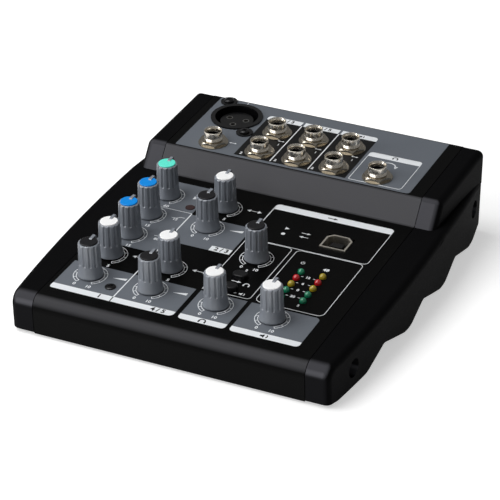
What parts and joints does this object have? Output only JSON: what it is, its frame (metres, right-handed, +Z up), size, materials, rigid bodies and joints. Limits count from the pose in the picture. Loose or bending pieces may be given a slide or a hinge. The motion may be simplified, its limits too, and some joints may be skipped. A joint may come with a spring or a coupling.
{
  "type": "mixing console",
  "caption": "Compact desktop audio mixing console: tilted control panel with turning knobs, lamps and push buttons, raised jack panel and moulded side cheeks with a wavy foot.",
  "frame": {"origin": "on the ground under the middle of the console", "axes": "+Z up, +X to the right as seen from the front, -Y is the front, where the operator sits"},
  "size_m": [0.1512, 0.1738, 0.0455],
  "materials": {
    "panel_paint": "satin powder coat with printed panels",
    "base_paint": "satin powder coat",
    "cheek_plastic": "satin moulded",
    "black_screw": "blackened",
    "zinc_screw": "zinc plated",
    "board": "solder mask",
    "pot_metal": "pressed steel",
    "socket_black": "satin",
    "contact_metal": "plated",
    "nickel": "bright nickel plate",
    "usb_metal": "plated",
    "lamp_green": "tinted",
    "lamp_yellow": "tinted",
    "lamp_red": "tinted",
    "lamp_peak": "tinted",
    "button_plastic": "satin",
    "slider_plastic": "satin",
    "knob_plastic": "satin",
    "cap_green": "satin",
    "cap_blue": "satin",
    "cap_white": "satin",
    "cap_black": "satin"
  },
  "bodies": {
    "console": {"top_chassis": "panel_paint", "control_panel": "panel_paint", "jack_panel": "panel_paint", "base_plate": "base_paint", "left_cheek": "cheek_plastic", "right_cheek": "cheek_plastic", "cheek_screws": "black_screw", "base_screws": "zinc_screw", "panel_screw": "black_screw", "control_board": "board", "jack_board": "board", "board_posts": "zinc_screw", "pot_bodies": "pot_metal", "xlr_shell": "socket_black", "xlr_insert": "socket_black", "xlr_contacts": "contact_metal", "xlr_screws": "black_screw", "jack_housings": "socket_black", "jack_bushes": "nickel", "jack_washers": "nickel", "jack_nuts": "nickel", "usb_shell": "usb_metal", "usb_insert": "socket_black", "led_green": "lamp_green", "led_yellow": "lamp_yellow", "led_red": "lamp_red", "led_peak": "lamp_peak", "lamp_spacers": "socket_black", "button_housings": "socket_black", "power_inlet": "socket_black", "power_switch_body": "socket_black", "phantom_switch_body": "socket_black"},
    "knob_gain_body": {"knob_gain": "knob_plastic", "cap_gain": "cap_green"},
    "knob_high_body": {"knob_high": "knob_plastic", "cap_high": "cap_blue"},
    "knob_low_body": {"knob_low": "knob_plastic", "cap_low": "cap_blue"},
    "knob_pan_body": {"knob_pan": "knob_plastic", "cap_pan": "cap_white"},
    "knob_level_1_body": {"knob_level_1": "knob_plastic", "cap_level_1": "cap_black"},
    "knob_balance_23_body": {"knob_balance_23": "knob_plastic", "cap_balance_23": "cap_white"},
    "knob_level_23_body": {"knob_level_23": "knob_plastic", "cap_level_23": "cap_black"},
    "knob_balance_45_body": {"knob_balance_45": "knob_plastic", "cap_balance_45": "cap_white"},
    "knob_level_45_body": {"knob_level_45": "knob_plastic", "cap_level_45": "cap_black"},
    "knob_tape_body": {"knob_tape": "knob_plastic", "cap_tape": "cap_black"},
    "knob_phones_body": {"knob_phones": "knob_plastic", "cap_phones": "cap_white"},
    "knob_main_body": {"knob_main": "knob_plastic", "cap_main": "cap_white"},
    "to_phones_button_body": {"to_phones_button": "button_plastic"},
    "to_main_button_body": {"to_main_button": "button_plastic"},
    "power_rocker_body": {"power_rocker": "button_plastic"},
    "phantom_slider_body": {"phantom_slider": "slider_plastic"}
  },
  "joints": [
    {"name": "gain_turn", "type": "hinge", "parent": "console", "child": "knob_gain_body", "pos_m": [-0.0475, 0.00942, 0.03308], "axis": [0, -0.0698, 0.9976], "range_deg": [-150, 150]},
    {"name": "high_turn", "type": "hinge", "parent": "console", "child": "knob_high_body", "pos_m": [-0.0475, -0.00848, 0.03183], "axis": [0, -0.0698, 0.9976], "range_deg": [-150, 150]},
    {"name": "low_turn", "type": "hinge", "parent": "console", "child": "knob_low_body", "pos_m": [-0.0475, -0.02639, 0.03058], "axis": [0, -0.0698, 0.9976], "range_deg": [-150, 150]},
    {"name": "pan_turn", "type": "hinge", "parent": "console", "child": "knob_pan_body", "pos_m": [-0.0475, -0.0443, 0.02932], "axis": [0, -0.0698, 0.9976], "range_deg": [-150, 150]},
    {"name": "level_1_turn", "type": "hinge", "parent": "console", "child": "knob_level_1_body", "pos_m": [-0.0475, -0.0622, 0.02807], "axis": [0, -0.0698, 0.9976], "range_deg": [-150, 150]},
    {"name": "balance_23_turn", "type": "hinge", "parent": "console", "child": "knob_balance_23_body", "pos_m": [-0.0196, 0.00942, 0.03308], "axis": [0, -0.0698, 0.9976], "range_deg": [-150, 150]},
    {"name": "level_23_turn", "type": "hinge", "parent": "console", "child": "knob_level_23_body", "pos_m": [-0.0196, -0.00848, 0.03183], "axis": [0, -0.0698, 0.9976], "range_deg": [-150, 150]},
    {"name": "balance_45_turn", "type": "hinge", "parent": "console", "child": "knob_balance_45_body", "pos_m": [-0.0196, -0.0443, 0.02932], "axis": [0, -0.0698, 0.9976], "range_deg": [-150, 150]},
    {"name": "level_45_turn", "type": "hinge", "parent": "console", "child": "knob_level_45_body", "pos_m": [-0.0196, -0.0622, 0.02807], "axis": [0, -0.0698, 0.9976], "range_deg": [-150, 150]},
    {"name": "tape_turn", "type": "hinge", "parent": "console", "child": "knob_tape_body", "pos_m": [0.0102, -0.0228, 0.03083], "axis": [0, -0.0698, 0.9976], "range_deg": [-150, 150]},
    {"name": "phones_turn", "type": "hinge", "parent": "console", "child": "knob_phones_body", "pos_m": [0.0102, -0.0622, 0.02807], "axis": [0, -0.0698, 0.9976], "range_deg": [-150, 150]},
    {"name": "main_turn", "type": "hinge", "parent": "console", "child": "knob_main_body", "pos_m": [0.0355, -0.0622, 0.02807], "axis": [0, -0.0698, 0.9976], "range_deg": [-150, 150]},
    {"name": "to_phones_press", "type": "slide", "parent": "console", "child": "to_phones_button_body", "axis": [0, 0.0698, -0.9976], "range_m": [0, 0.0015], "stiffness_N_per_m": 300},
    {"name": "to_main_press", "type": "slide", "parent": "console", "child": "to_main_button_body", "axis": [0, 0.0698, -0.9976], "range_m": [0, 0.0015], "stiffness_N_per_m": 300},
    {"name": "power_rock", "type": "hinge", "parent": "console", "child": "power_rocker_body", "pos_m": [0.019, 0.08338, 0.016], "axis": [1, 0, 0], "range_deg": [-16, 0]},
    {"name": "phantom_slide", "type": "slide", "parent": "console", "child": "phantom_slider_body", "axis": [1, 0, 0], "range_m": [0, 0.004]}
  ]
}
